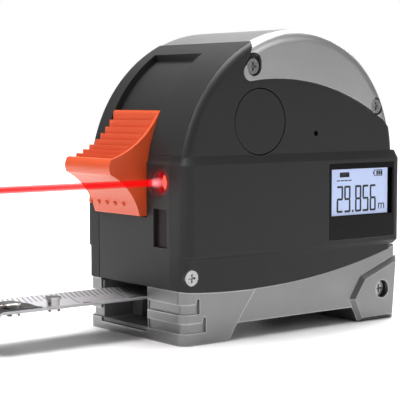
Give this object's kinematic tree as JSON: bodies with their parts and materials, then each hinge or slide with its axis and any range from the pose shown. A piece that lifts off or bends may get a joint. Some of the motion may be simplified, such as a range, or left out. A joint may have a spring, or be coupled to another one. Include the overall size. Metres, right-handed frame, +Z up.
{
  "type": "laser distance meter",
  "caption": "Hand-held laser distance meter with a pull-out steel tape: domed black case, silver guards, orange brake slider, side display and round measuring key.",
  "frame": {"origin": "on the ground plane under the flat front face, at mid width", "axes": "+Z up, -X the way the tape and the laser go out, -Y the side with the display and the key"},
  "size_m": [0.118, 0.0442, 0.079],
  "materials": {
    "case_black": "soft matt charcoal",
    "front_black": "soft matt charcoal",
    "key_black": "soft matt charcoal",
    "silver_paint": "silver metallic paint, satin",
    "liner_dark": "matt black",
    "inner_black": "moulded black",
    "screw_steel": "bright zinc",
    "rivet_steel": "nickel",
    "spring_steel": "blued spring steel",
    "reel_grey": "moulded grey",
    "blade_white": "white enamel with printed scale",
    "hook_dark": "dark nickel",
    "window_black": "polished black",
    "lcd_glass": "lit pale blue",
    "light_white": "white",
    "board_green": "solder mask",
    "chip_black": "moulded",
    "cell_foil": "foil pouch",
    "switch_metal": "tinned",
    "barrel_brass": "turned",
    "laser_glass": "coated lens",
    "filter_dark": "dark red filter",
    "lens_glass": "clear",
    "slider_orange": "satin orange",
    "pad_rubber": "matt"
  },
  "bodies": {
    "case": {"display_shell": "case_black", "far_shell": "case_black", "front_cover": "front_black", "top_guard": "silver_paint", "base_bumper": "silver_paint", "mouth_liner": "liner_dark", "inner_divider": "inner_black", "case_screws": "screw_steel", "reel_axle": "spring_steel", "display_window": "window_black", "display_panel": "lcd_glass", "light_box": "light_white", "main_board": "board_green", "board_screws": "screw_steel", "board_chips": "chip_black", "battery_cell": "cell_foil", "buzzer": "chip_black", "key_switch": "switch_metal", "charge_socket": "switch_metal", "optics_holder": "inner_black", "laser_barrel": "barrel_brass", "laser_lens": "laser_glass", "receiver_window": "filter_dark", "receiver_lens": "lens_glass", "receiver_board": "chip_black"},
    "reel": {"reel_drum": "reel_grey", "spring_cover": "reel_grey", "tape_coil": "blade_white", "power_spring": "spring_steel"},
    "blade": {"tape_blade": "blade_white", "hook_rivets": "rivet_steel", "stop_pin": "rivet_steel"},
    "hook": {"end_hook": "hook_dark"},
    "brake": {"brake_button": "slider_orange", "brake_arm": "inner_black", "brake_pad": "pad_rubber"},
    "key": {"measure_key": "key_black"}
  },
  "joints": [
    {"name": "reel_spin", "type": "hinge", "parent": "case", "child": "reel", "pos_m": [0.036, 0, 0.0355], "axis": [0, 1, 0], "range_deg": [-102, 35]},
    {"name": "tape_slide", "type": "slide", "parent": "case", "child": "blade", "axis": [-1, 0, 0], "range_m": [-0.0405, 0.014]},
    {"name": "hook_play", "type": "slide", "parent": "blade", "child": "hook", "axis": [-1, 0, 0], "range_m": [-0.0005, 0.0005]},
    {"name": "brake_slide", "type": "hinge", "parent": "case", "child": "brake", "pos_m": [0.0394, 0, 0.0396], "axis": [0, 1, 0], "range_deg": [0, 27]},
    {"name": "key_press", "type": "slide", "parent": "case", "child": "key", "axis": [0, 1, 0], "range_m": [0, 0.0005], "stiffness_N_per_m": 600}
  ],
  "couplings": [
    {"joint": "tape_slide", "follows": "reel_spin", "m_per_rad": 0.0226}
  ]
}
